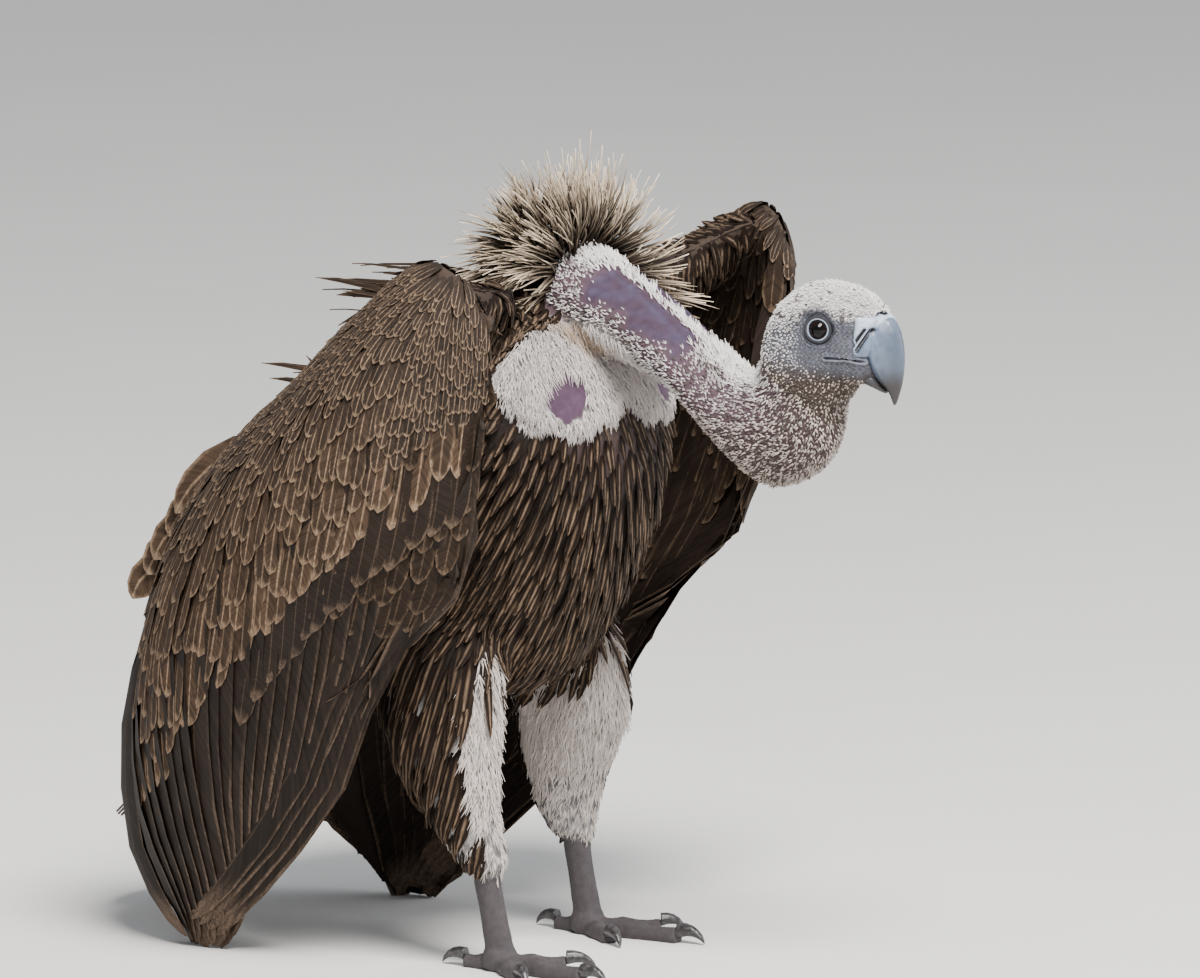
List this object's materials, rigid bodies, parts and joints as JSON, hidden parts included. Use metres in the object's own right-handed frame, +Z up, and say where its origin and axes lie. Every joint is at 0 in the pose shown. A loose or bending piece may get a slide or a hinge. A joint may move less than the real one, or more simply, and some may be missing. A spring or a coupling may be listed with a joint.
{
  "type": "white-backed vulture",
  "caption": "Life-size standing vulture with half-lifted brown wings, a pale bristling ruff, a low curved neck and a heavy hooked grey bill.",
  "frame": {"origin": "Middle of the bounding box's footprint, at the level of the soles.", "axes": "+X to the bird's left, +Y towards its tail (it faces -Y), +Z up"},
  "size_m": [0.5036, 0.7206, 0.6089],
  "materials": {
    "brown_feather": "satin",
    "flight_feather": "satin",
    "ruff_feather": "matte",
    "white_down": "matte",
    "neck_skin": "matte",
    "bill_horn": "satin",
    "eye_dark": "gloss",
    "leg_scale": "matte",
    "claw_horn": "satin"
  },
  "bodies": {
    "root": {"trunk": "brown_feather", "neck_lower": "neck_skin", "neck_upper": "neck_skin", "ruff": "ruff_feather", "head": "white_down", "bill_upper": "bill_horn", "bill_lower": "bill_horn", "tail": "flight_feather", "eye_right": "eye_dark", "shoulder_right": "brown_feather", "wing_right": "brown_feather", "flight_feathers_right": "flight_feather", "thigh_right": "white_down", "shank_right": "leg_scale", "foot_right": "leg_scale", "claw_middle_right": "claw_horn", "claw_outer_right": "claw_horn", "claw_inner_right": "claw_horn", "claw_hind_right": "claw_horn", "eye_left": "eye_dark", "shoulder_left": "brown_feather", "wing_left": "brown_feather", "flight_feathers_left": "flight_feather", "thigh_left": "white_down", "shank_left": "leg_scale", "foot_left": "leg_scale", "claw_middle_left": "claw_horn", "claw_outer_left": "claw_horn", "claw_inner_left": "claw_horn", "claw_hind_left": "claw_horn"}
  },
  "joints": []
}
